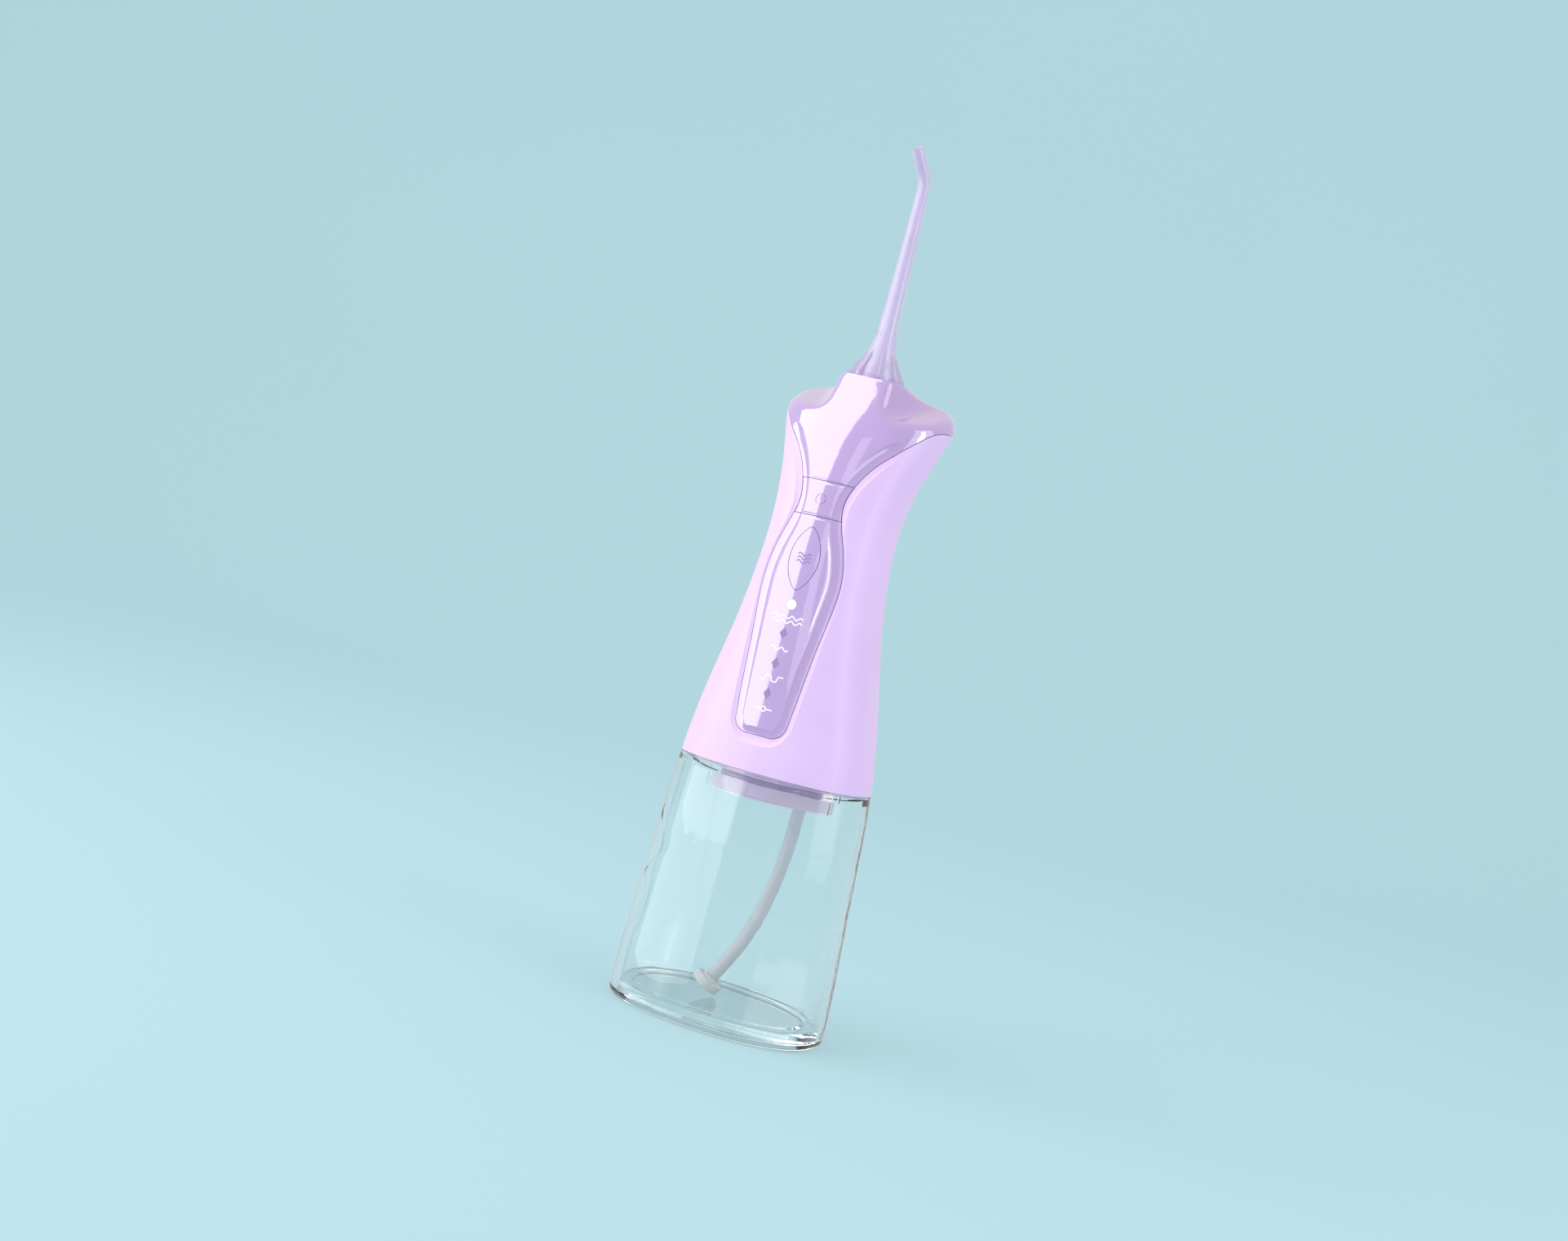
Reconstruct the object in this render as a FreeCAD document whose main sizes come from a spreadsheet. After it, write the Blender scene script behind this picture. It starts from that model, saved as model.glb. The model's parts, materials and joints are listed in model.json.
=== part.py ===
import FreeCAD, Part
import math
import os
import re
import Sketcher
from types import SimpleNamespace
from FreeCAD import Placement, Rotation, Vector

# Cordless water flosser, standing on its tank.  Millimetres, +Z up, front face towards -Y,
# origin at the middle of the tank's underside.

SIZES = {
    # Water tank
    "tank_height": 84.0,
    "tank_half_width": 37.0,
    "tank_half_depth": 29.8,
    "rim_half_width": 32.8,
    "rim_half_depth": 26.8,
    "tank_wall": 2.2,
    "foot_thickness": 2.6,
    "floor_height": 6.0,
    "deck_thickness": 2.2,
    "deck_drop": 1.0,
    "collar_radius": 21.9,
    "neck_bore_radius": 20.7,
    "collar_height": 8.0,
    "key_width": 3.0,
    # Handle
    "joint_gap": 0.15,
    "handle_height": 219.0,
    "shell_wall": 3.4,
    "cover_thickness": 2.0,
    "button_thickness": 1.2,
    "seam_gap": 0.2,
    "valley_radius": 5.5,
    "valley_dip": 0.5,
    "small_valley_radius": 2.0,
    "small_valley_dip": 0.18,
    "head_round": 4.5,
    "rear_fall": 0.32,
    "rear_seam_height": 208.0,
    "button_bottom": 169.3,
    "button_top": 181.2,
    "mode_height": 155.0,
    "mode_half_height": 10.4,
    "mode_half_width": 5.05,
    "mode_tip_radius": 1.5,
    "symbol_radius": 1.85,
    "symbol_stroke": 0.35,
    "symbol_depth": 0.2,
    "lamp_height": 139.6,
    "lamp_radius": 1.7,
    "diamond_half_height": 1.9,
    "diamond_half_width": 1.25,
    "stem_radius": 2.2,
    # Base cap and suction line
    "spigot_radius": 20.4,
    "spigot_wall": 1.6,
    "spigot_drop": 8.7,
    "cap_thickness": 3.0,
    "seal_wire": 1.0,
    "hose_radius": 2.5,
    "hose_bore": 1.65,
    "tube_radius": 2.25,
    "tube_bore": 1.65,
    "barb_radius": 1.6,
    "weight_radius": 5.0,
    "weight_length": 2.8,
    # Pump and drive
    "motor_radius": 10.2,
    "motor_length": 26.0,
    "shaft_radius": 1.0,
    "gear_module": 0.5,
    "pinion_teeth": 10.0,
    "gear_teeth": 40.0,
    "gear_thickness": 4.0,
    "crank_throw": 1.5,
    "crank_pin_radius": 1.0,
    "cylinder_radius": 5.6,
    "cylinder_bore": 4.0,
    "cylinder_length": 12.0,
    "piston_length": 4.0,
    # Battery and electronics
    "cell_radius": 9.0,
    "cell_length": 50.0,
    "board_width": 17.0,
    "board_thickness": 1.5,
    "board_length": 80.0,
    # Nozzle and its socket
    "socket_radius": 8.6,
    "rotor_radius": 6.8,
    "rotor_bore": 2.98,
    "spigot_shaft_radius": 2.9,
    "nozzle_flange_radius": 7.6,
    "nozzle_stem_low": 3.4,
    "nozzle_stem_high": 2.1,
    "elbow_height": 288.0,
    "tip_length": 11.8,
    "tip_angle": 35.0,
    "tip_heading": 32.0,
    "jet_bore": 0.9,
    "fin_reach": 9.8,
}

os.makedirs("parts", exist_ok=True)
doc = FreeCAD.newDocument("water_flosser")
sheet = doc.addObject("Spreadsheet::Sheet", "Sizes")
for row, (alias, number) in enumerate(SIZES.items(), start=1):
    sheet.set(f"A{row}", alias.replace("_", " "))
    sheet.set(f"B{row}", str(number))
    sheet.setAlias(f"B{row}", alias)
doc.recompute()
S = SimpleNamespace(**{alias: float(sheet.get(alias)) for alias in SIZES})

X, Y, Z = Vector(1, 0, 0), Vector(0, 1, 0), Vector(0, 0, 1)
nodes = []


# ---------------------------------------------------------------- helpers

def formula(text):
    """Turn 'tank_wall + 1' into the expression 'Sizes.tank_wall + 1'."""
    return re.sub(r"[a-z][a-z_]+", lambda word: "Sizes." + word.group(), str(text))


def bind(item, **texts):
    for prop, text in texts.items():
        item.setExpression(prop, formula(text))
    return item


def node(item, label, at=None):
    """Register a finished sub-part: its label is its file name."""
    item.Label = label
    if at is not None:
        item.Placement = at
    nodes.append(item)
    return item


def along(axis, base=(0, 0, 0)):
    """Placement that turns +Z to the axis and moves the origin to base."""
    return Placement(Vector(*base), Rotation(Z, Vector(axis)))


def cylinder(name, radius, height, base=(0, 0, 0), axis=Z):
    item = bind(doc.addObject("Part::Cylinder", name), Radius=radius, Height=height)
    item.Placement = along(axis, base)
    return item


def box(name, width, depth, height, corner):
    item = bind(doc.addObject("Part::Box", name), Length=width, Width=depth, Height=height)
    item.Placement = Placement(Vector(*corner), Rotation())
    return item


def centred_box(name, width, depth, height, centre):
    """A box given by its three sizes (plain numbers) and its centre."""
    corner = [middle - side / 2 for middle, side in zip(centre, (width, depth, height))]
    return box(name, width, depth, height, corner)


def torus(name, ring, wire, centre, axis=Z):
    item = bind(doc.addObject("Part::Torus", name), Radius1=ring, Radius2=wire)
    item.Placement = along(axis, centre)
    return item


def solid(name, shape):
    item = doc.addObject("Part::Feature", name)
    item.Shape = shape
    item.Placement = Placement()
    return item


def fuse(name, *items):
    joined = doc.addObject("Part::MultiFuse", name)
    joined.Shapes = list(items)
    return joined


def cut(name, base, *tools):
    left = doc.addObject("Part::Cut", name)
    left.Base = base
    left.Tool = tools[0] if len(tools) == 1 else fuse(name + "_tools", *tools)
    return left


def turned(name, outline, at=Placement()):
    """A PartDesign body turned about its Z axis from (radius, height) corners."""
    body = doc.addObject("PartDesign::Body", name)
    sketch = body.newObject("Sketcher::SketchObject", name + "_profile")
    plane = next(f for f in body.Origin.OriginFeatures if f.Role == "XZ_Plane")
    sketch.AttachmentSupport = (plane, "")
    sketch.MapMode = "FlatFace"
    corners = [Vector(index + 1.0, index * index + 1.0, 0) for index in range(len(outline))]
    for first, second in zip(corners, corners[1:] + corners[:1]):
        sketch.addGeometry(Part.LineSegment(first, second), False)
    count = len(outline)
    for index in range(count):
        following = (index + 1) % count
        sketch.addConstraint(Sketcher.Constraint("Coincident", index, 2, following, 1))
    for index, (radius, height) in enumerate(outline):
        for kind, text in (("DistanceX", radius), ("DistanceY", height)):
            at_row = sketch.addConstraint(Sketcher.Constraint(kind, -1, 1, index, 1, 1.0))
            sketch.setExpression(f"Constraints[{at_row}]", formula(text))
    doc.recompute()
    turn = body.newObject("PartDesign::Revolution", name + "_turn")
    turn.Profile = sketch
    turn.ReferenceAxis = (sketch, ["V_Axis"])
    turn.Angle = 360
    body.Placement = at
    return body


def oval_wire(height, half_width, front, back, squareness=2.25, count=24):
    """A superellipse with its own front and back depths, as one smooth closed spline."""
    middle, depth = (back - front) / 2, (back + front) / 2
    power = 2 / squareness
    points = []
    for index in range(count):
        turn = 2 * math.pi * index / count
        across, along_depth = math.cos(turn), math.sin(turn)
        points.append(Vector(
            math.copysign(abs(across) ** power, across) * half_width,
            middle + math.copysign(abs(along_depth) ** power, along_depth) * depth,
            height))
    curve = Part.BSplineCurve()
    curve.interpolate(points, PeriodicFlag=True)
    return Part.Wire(curve.toShape())


def slab(low, high, reach=60):
    """A wide block between two heights."""
    return Part.makeBox(2 * reach, 2 * reach, high - low, Vector(-reach, -reach, low))


def block(x_range, y_range, z_range):
    size_of = [high - low for low, high in (x_range, y_range, z_range)]
    return Part.makeBox(*size_of, Vector(x_range[0], y_range[0], z_range[0]))


def rod_along(axis, start, length, radius):
    return Part.makeCylinder(radius, length, Vector(*start), axis)


def rounded_route(points):
    """Straight runs joined by tangent arcs; returns the wire and the arc radii."""
    corners = [Vector(*point) for point in points]
    edges, radii = [], []
    start = corners[0]
    for before, corner, after in zip(corners, corners[1:], corners[2:]):
        back, onward = before - corner, after - corner
        shorter = min(back.Length, onward.Length)
        back.normalize()
        onward.normalize()
        half_opening = back.getAngle(onward) / 2
        reach = 0.45 * shorter
        radius = reach * math.tan(half_opening)
        middle_way = back + onward
        middle_way.normalize()
        centre = corner + middle_way * (radius / math.sin(half_opening))
        first, last = corner + back * reach, corner + onward * reach
        edges.append(Part.LineSegment(start, first).toShape())
        edges.append(Part.Arc(first, centre - middle_way * radius, last).toShape())
        radii.append(radius)
        start = last
    edges.append(Part.LineSegment(start, corners[-1]).toShape())
    return Part.Wire(edges), radii


def pipe(points, radius, bore, title):
    """A round hose along a rounded route, with its bore cut out; prints its measures."""
    path, radii = rounded_route(points)
    start, heading = Vector(*points[0]), Vector(*points[1]) - Vector(*points[0])
    skins = []
    for ring in (radius, bore):
        if ring:
            circle = Part.Wire(Part.makeCircle(ring, start, heading))
            skins.append(path.makePipeShell([circle], True, False))
    hose = skins[0] if not bore else skins[0].cut(skins[1])
    section = math.pi * (radius ** 2 - bore ** 2)
    print(f"{title}: length {path.Length:.1f}, arc radii",
          " ".join(f"{arc:.1f}" for arc in radii),
          f"volume / (section x length) {hose.Volume / (section * path.Length):.4f}")
    return hose


# ---------------------------------------------------------------- water tank

def tank_hull(inset, low=0.0, lowest_inset=None):
    """The tank's smooth outer form, moved inwards by the wall."""
    extra = inset if lowest_inset is None else lowest_inset
    stations = []
    for height, share in ((low, 0.0), (14, 0.0), (32, 0.23), (58, 0.56), (84, 1.0)):
        wall = extra + (inset - extra) * share
        width = S.tank_half_width + (S.rim_half_width - S.tank_half_width) * share - wall
        depth = S.tank_half_depth + (S.rim_half_depth - S.tank_half_depth) * share - wall
        stations.append(oval_wire(height, width, depth, depth))
    return Part.makeLoft(stations, True, False)


def make_tank():
    outer = tank_hull(0)
    foot_edge = [edge for edge in outer.Edges if edge.BoundBox.ZMax < 0.01]
    outer = outer.makeFillet(1.6, foot_edge)
    inner = tank_hull(S.tank_wall, lowest_inset=3.0)
    deck_top = S.tank_height - S.deck_drop
    deck_bottom = deck_top - S.deck_thickness
    above_foot = S.foot_thickness + 0.05

    walls = outer.common(slab(above_foot, S.tank_height))
    hollow = inner.common(slab(above_foot, deck_bottom)).fuse(inner.common(slab(deck_top, 90)))
    collar_bottom = deck_top - S.collar_height
    collar = Part.makeCylinder(S.collar_radius, S.collar_height, Vector(0, 0, collar_bottom))
    neck = Part.makeCylinder(S.neck_bore_radius, 20, Vector(0, 0, 70))
    keyway = 2 * (S.spigot_radius + 0.75)
    slots = block((-keyway / 2, keyway / 2), (-S.key_width / 2 - 0.2, S.key_width / 2 + 0.2),
                  (collar_bottom, 90))
    tank = walls.cut(hollow).fuse(collar).cut(neck).cut(slots)
    node(solid("TankShell", tank), "tank_shell")

    plug_inset = 3.1
    plug = tank_hull(plug_inset, lowest_inset=plug_inset)
    foot = outer.common(slab(0, S.foot_thickness))
    floor = plug.common(slab(0, S.floor_height))
    recess = tank_hull(6.5, lowest_inset=6.5).common(slab(-1, 1.2))
    ring_out = tank_hull(6.2, lowest_inset=6.2).common(slab(S.floor_height - 1.0, 20))
    ring_in = tank_hull(7.6, lowest_inset=7.6).common(slab(0, 20))
    base = foot.fuse(floor).cut(recess).cut(ring_out.cut(ring_in))
    node(solid("TankBase", base), "tank_base")


# ---------------------------------------------------------------- handle form

# Height, half width, front depth and back depth of the handle.
STATIONS = ((84.15, 32.8, 26.8, 26.8), (97, 31.2, 26.6, 25.6), (111, 28.7, 26.2, 23.9),
            (126, 25.6, 25.5, 21.9), (141, 23.0, 24.7, 19.8), (155, 21.4, 23.9, 18.2),
            (168, 20.95, 22.9, 17.6), (180, 22.0, 21.6, 18.3), (191, 24.4, 19.6, 20.2),
            (201, 27.3, 16.8, 22.1), (210, 29.4, 13.2, 23.3), (221, 29.95, 9.05, 23.6))


def rounded_corner(before, corner, after, radius):
    """First, middle and last point of the arc that rounds a corner."""
    back, onward = (before - corner).normalize(), (after - corner).normalize()
    opening = back.getAngle(onward) / 2
    reach = radius / math.tan(opening)
    middle = (back + onward).normalize()
    crown = corner + middle * (radius / math.sin(opening) - radius)
    return corner + back * reach, crown, corner + onward * reach


def cap_section(depth):
    """Outline of the head's top at one depth: a leaning dome with a wing on each side."""
    lean, wing_slope, top, side, bottom = 0.28, 0.12, 240, 40, 70
    half_deck = max(11.6 + 0.45 * depth, 0.5)
    wing_at_root = 210.8 + 0.45 * depth
    fall = wing_slope * (half_deck + lean * S.handle_height - 18)
    root_height = (wing_at_root - fall) / (1 - wing_slope * lean)
    root = Vector(half_deck + lean * (S.handle_height - root_height), depth, root_height)
    crest = Vector(half_deck - lean * (top - S.handle_height), depth, top)
    wing = Vector(side, depth, wing_at_root - wing_slope * (side - 18))
    base = Vector(side, depth, bottom)
    arc = rounded_corner(crest, root, wing, 5.0)

    def flip(point):
        return Vector(-point.x, point.y, point.z)

    def line(first, last):
        return Part.LineSegment(first, last).toShape()

    return Part.Wire([
        line(flip(crest), crest), line(crest, arc[0]), Part.Arc(*arc).toShape(),
        line(arc[2], wing), line(wing, base), line(base, flip(base)),
        line(flip(base), flip(wing)), line(flip(wing), flip(arc[2])),
        Part.Arc(flip(arc[2]), flip(arc[1]), flip(arc[0])).toShape(),
        line(flip(arc[0]), flip(crest))])


def rear_slope():
    """Everything above the plane that falls away behind the nozzle."""
    start, ridge, reach, ceiling, half_width = -10, 5, 45, 260, 60
    top = S.handle_height
    corners = [(start, top + S.rear_fall * (ridge - start)),
               (reach, top - S.rear_fall * (reach - ridge)), (reach, ceiling), (start, ceiling)]
    points = [Vector(-half_width, depth, height) for depth, height in corners]
    return Part.Face(Part.makePolygon(points + points[:1])).extrude(X * 2 * half_width)


def handle_hull(inset):
    """The handle's whole outer form, moved inwards by an even wall.

    The outer form is rounded a little taller than it ends, then cut off level, which leaves a
    crisp rim round the nozzle's deck.
    """
    sides = Part.makeLoft([oval_wire(height, width - inset, front - inset, back - inset)
                           for height, width, front, back in STATIONS], True, False)
    cap = Part.makeLoft([cap_section(-28), cap_section(28)], True, True).cut(rear_slope())
    if inset:
        cap.translate(Vector(0, 0, -1.15 * inset))
        return sides.common(slab(0, S.handle_height - inset)).common(cap)
    hull = sides.common(cap)
    head_edges = [edge for edge in hull.Edges
                  if edge.BoundBox.ZMin > 203 and edge.Length > 0.01]
    return hull.makeFillet(S.head_round, head_edges).cut(slab(S.handle_height, 260))


def front_depth(hull, height, across=0.0):
    """Y of the front of a hull at one place in the front view."""
    ray = Part.LineSegment(Vector(across, -40, height), Vector(across, 0, height)).toShape()
    return min(vertex.Y for vertex in hull.common(ray).Vertexes)


# Right half of the valley's route in the front view, and how far it stands off its full dip.
VALLEY_ROUTE = ((26.0, 202.0, 7.0), (20.2, 196.9, 0.6), (14.9, 190.4, 0), (10.3, 182.2, 0),
                (8.3, 173.6, 0), (9.1, 166.4, 0), (12.0, 158.2, 0), (13.6, 149.6, 0),
                (12.8, 138.0, 0), (11.8, 127.0, 0), (10.8, 116.0, 0), (10.0, 107.0, 0),
                (9.5, 100.4, 0), (6.5, 95.9, 0))


def valley_tool(hull, places, radius, dip):
    """A round bar that follows a hull's front and sinks a soft valley into it."""
    route = [Vector(across, front_depth(hull, height, across) - radius + dip - lift, height)
             for across, height, lift in places]
    circle = Part.makeCircle(radius, route[0], route[1] - route[0])
    return rounded_route(route)[0].makePipeShell([Part.Wire(circle)], True, False)


def with_valleys(hull):
    """The hull with valleys along the cover's long seam and the power button's two seams."""
    left = tuple((-across, height, lift) for across, height, lift in reversed(VALLEY_ROUTE))
    tools = [valley_tool(hull, VALLEY_ROUTE + left, S.valley_radius, S.valley_dip)]
    for height in (S.button_bottom, S.button_top):
        places = [(across, height, max(0.0, abs(across) - 6) * 0.3)
                  for across in (-10, -6, -2, 2, 6, 10)]
        tools.append(valley_tool(hull, places, S.small_valley_radius, S.small_valley_dip))
    for tool in tools:
        hull = hull.cut(tool)
    return hull


def cover_outline(inset=0.0):
    """Front view of the glossy hourglass cover: wings, waist, belly and round foot."""
    side = [(32.5, 208.6), (27.7, 206), (22.9, 200.5), (18.2, 195), (14, 190), (9.3, 181.2),
            (7.8, 174), (8.6, 169), (11.5, 160), (13.4, 150), (11.9, 130), (10.1, 110),
            (9.2, 101)]
    shifted = []
    for index, (across, height) in enumerate(side):
        before, after = side[max(index - 1, 0)], side[min(index + 1, len(side) - 1)]
        run = Vector(after[0] - before[0], 0, after[1] - before[1]).normalize()
        shifted.append((across + run.z * inset, height - run.x * inset))
    shifted[-1] = (9.2 - inset, 101)
    edges = []
    for sign in (1, -1):
        points = [Vector(sign * across, -40, height) for across, height in shifted]
        curve = Part.BSplineCurve()
        curve.interpolate(points)
        edges.append(curve.toShape())
        bend = Vector(sign * (7.8 - 0.7 * inset), -40, 97.5 + 0.7 * inset)
        foot = Vector(sign * 4.2, -40, 96 + inset)
        edges.append(Part.Arc(points[-1], bend, foot).toShape())
        edges.append(Part.LineSegment(points[0], Vector(points[0].x, -40, 240)).toShape())
    for height, across in ((96 + inset, 4.2), (240, shifted[0][0])):
        edges.append(Part.LineSegment(Vector(-across, -40, height),
                                      Vector(across, -40, height)).toShape())
    return Part.Wire(Part.sortEdges(edges)[0])


def leaf_outline(grow=0.0):
    """The mode button's outline: two long arcs that meet in rounded tips."""
    wide, tall = S.mode_half_width + grow, S.mode_half_height + grow
    tip = S.mode_tip_radius
    side = ((tall - tip) ** 2 - tip ** 2 + wide ** 2) / (2 * (wide - tip))
    lean = math.atan2(tall - tip, side - wide)
    join = Vector(wide - side + side * math.cos(lean), 0, side * math.sin(lean))
    middle = Vector(0, -40, S.mode_height)

    def at(across, up):
        return middle + Vector(across, 0, up)

    arcs = []
    for sign in (1, -1):
        arcs.append(Part.Arc(at(sign * join.x, join.z), at(sign * wide, 0),
                             at(sign * join.x, -join.z)))
        arcs.append(Part.Arc(at(-join.x, sign * join.z), at(0, sign * tall),
                             at(join.x, sign * join.z)))
    return Part.Wire(Part.sortEdges([arc.toShape() for arc in arcs])[0])


def diamond(height, grow=0.0):
    wide, tall = S.diamond_half_width + grow, S.diamond_half_height + grow
    corners = [(0, tall), (wide, 0), (0, -tall), (-wide, 0), (0, tall)]
    return Part.makePolygon([Vector(across, -40, height + up) for across, up in corners])


def forward_prism(outline, back=6.0):
    return Part.Face(outline).extrude(Vector(0, 40 + back, 0))


DIAMOND_HEIGHTS = (130.0, 120.0, 110.0)


def lamp_cores(grow):
    """Bores for the round lamp and the three diamonds."""
    round_core = rod_along(Y, (0, -40, S.lamp_height), 40, S.lamp_radius + grow)
    diamonds = [forward_prism(diamond(height, grow), 0) for height in DIAMOND_HEIGHTS]
    return [round_core] + diamonds


BOARD_FRONT = -16.5
STEM_HEIGHTS = {"power_button": 175.0, "mode_button": 155.0}
MEMBRANE_THICKNESS = 0.6
BUTTON_TRAVEL = 0.6


PORT_HINGE = (25.8, 96.3)
PORT_HINGE_RADIUS = 0.4
RELEASE_HEIGHTS = (195.0, 203.0)
RELEASE_HALF_WIDTH = 6.0
OPENING_GAP = 0.2


def power_symbol():
    """The power sign's engraving: an open ring with a bar in its gap."""
    height, inner = STEM_HEIGHTS["power_button"], S.symbol_radius - S.symbol_stroke
    ring = rod_along(Y, (0, -40, height), 40, S.symbol_radius).cut(
        rod_along(Y, (0, -40, height), 40, inner))
    half_gap, half_bar = 0.7, S.symbol_stroke / 2
    ring = ring.cut(block((-half_gap, half_gap), (-40, 0), (height, height + 5)))
    return ring.fuse(block((-half_bar, half_bar), (-40, 0), (height - 0.1, height + 2.0)))


def port_zone(gap):
    """The charging port cover's outline through the back of the shell, grown by a gap."""
    return block((-8.0 - gap, 8.0 + gap), (10, 40), (96.2 - gap, 106.2 + gap))


def release_zone(gap):
    low, high = RELEASE_HEIGHTS
    reach = RELEASE_HALF_WIDTH + gap
    return block((-reach, reach), (10, 40), (low - gap, high + gap))


def make_handle():
    full = with_valleys(handle_hull(0))
    cover_back = handle_hull(S.cover_thickness)
    button_back = handle_hull(S.button_thickness)
    cavity = handle_hull(S.shell_wall)
    rear_top = block((-40, 40), (5.9, 40), (S.rear_seam_height, 240))
    pocket = forward_prism(cover_outline()).fuse(rear_top)
    cover_zone = forward_prism(cover_outline(S.seam_gap), 5.9).fuse(
        block((-40, 40), (5.8, 40), (S.rear_seam_height + S.seam_gap, 240)))

    # Shell: full form less its hollow, the cover's seat and everything above the rear seam
    seat = full.common(pocket).cut(cover_back)
    shell = full.cut(cavity).cut(seat).cut(slab(S.rear_seam_height, 240))
    for height in STEM_HEIGHTS.values():
        shell = shell.cut(rod_along(Y, (0, -40, height), 40, S.stem_radius + 0.5))
    for core in lamp_cores(0.25):
        shell = shell.cut(core)

    # Charging port recess at the back, with the round seat of its cover's hinge bead
    pocket = port_zone(OPENING_GAP)
    shell = shell.cut(pocket.cut(handle_hull(1.8)))
    shell = shell.cut(block((-4.8, 4.8), (10, 40), (99.3, 103.1)))
    shell = shell.cut(rod_along(X, (-4.4, *PORT_HINGE), 8.8, PORT_HINGE_RADIUS + 0.1))

    # Nozzle release button opening at the back of the head
    shell = shell.cut(release_zone(OPENING_GAP))
    node(solid("MainShell", shell), "main_shell")

    cover = full.common(cover_zone).cut(cover_back)
    half_gap = S.seam_gap / 2
    head = cover.common(slab(S.button_top + half_gap, 240))
    head = head.cut(Part.makeCylinder(S.rotor_radius + 0.35, 30, Vector(0, 0, 205)))
    node(solid("HeadCover", head), "head_cover")

    mode_hole = forward_prism(leaf_outline(0.2))
    panel = cover.common(slab(90, S.button_bottom - half_gap)).cut(mode_hole)
    for core in lamp_cores(0.06):
        panel = panel.cut(core)
    node(solid("ControlPanel", panel), "control_panel")

    button_zone = forward_prism(cover_outline(1.5 * S.seam_gap), 0).common(
        slab(S.button_bottom + half_gap, S.button_top - half_gap))
    zones = {"power_button": button_zone, "mode_button": forward_prism(leaf_outline(), 0)}
    for label, zone in zones.items():
        height = STEM_HEIGHTS[label]
        inner_face = front_depth(cavity, height)
        membrane_front = inner_face + 0.05
        stem_end = membrane_front - BUTTON_TRAVEL - 0.1
        stem = rod_along(Y, (0, -40, height), 40 + stem_end, S.stem_radius)
        cap = full.common(zone).cut(button_back)
        button = cap.fuse(stem.common(full))
        if label == "power_button":
            button = button.cut(power_symbol().cut(handle_hull(S.symbol_depth)))
        node(solid(label.title().replace("_", ""), button), label)
    return full, cavity


def make_button_parts(cavity):
    """Membranes behind the two buttons, the tact switches and the lamps' light pipes."""
    membranes, switches, plungers = [], [], []
    for height in STEM_HEIGHTS.values():
        front = front_depth(cavity, height) + 0.05
        disc = rod_along(Y, (0, front, height), MEMBRANE_THICKNESS, 4.2)
        membranes.append(disc.common(cavity))
        base = block((-3, 3), (BOARD_FRONT - 1.3, BOARD_FRONT - 0.02), (height - 3, height + 3))
        switches.append(base)
        plunger_front = front + MEMBRANE_THICKNESS + 0.05
        reach = BOARD_FRONT - 1.3 - plunger_front
        if reach > 0.05:
            plungers.append(rod_along(Y, (0, plunger_front, height), reach, 1.4))
    node(solid("ButtonMembranes", Part.makeCompound(membranes)), "button_membranes")
    bodies = [switches[0].fuse(plungers[0]), switches[1].fuse(plungers[-1])]
    node(solid("PowerSwitch", bodies[0]), "power_switch")
    node(solid("ModeSwitch", bodies[1]), "mode_switch")


def make_lamps(full):
    led_depth = 0.8
    pipe_end = BOARD_FRONT - led_depth - 0.15
    in_front = block((-10, 10), (-40, pipe_end), (100, 145))
    pieces = [full.common(core).common(in_front) for core in lamp_cores(0)]
    node(solid("RoundLight", pieces.pop(0)), "round_light_pipe")
    node(solid("DiamondLights", Part.makeCompound(pieces)), "diamond_light_pipes")
    leds = [block((-1, 1), (BOARD_FRONT - led_depth, BOARD_FRONT - 0.02),
                  (height - 0.6, height + 0.6))
            for height in (S.lamp_height,) + DIAMOND_HEIGHTS]
    node(solid("IndicatorLeds", Part.makeCompound(leds)), "indicator_leds")


# ---------------------------------------------------------------- base cap and suction line

BOSSES = ((19.5, -13.5), (-19.5, -13.5))
INLET = (10.0, 3.8)
SUCTION_ROUTE = [(10.0, 3.8, 78.3), (9.9, 3.8, 67.5), (9.3, 3.6, 57.0), (8.0, 3.1, 46.5),
                 (6.1, 2.3, 36.0), (3.0, 1.1, 26.0), (-1.1, -0.4, 17.2), (-3.6, -1.4, 12.4)]


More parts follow.
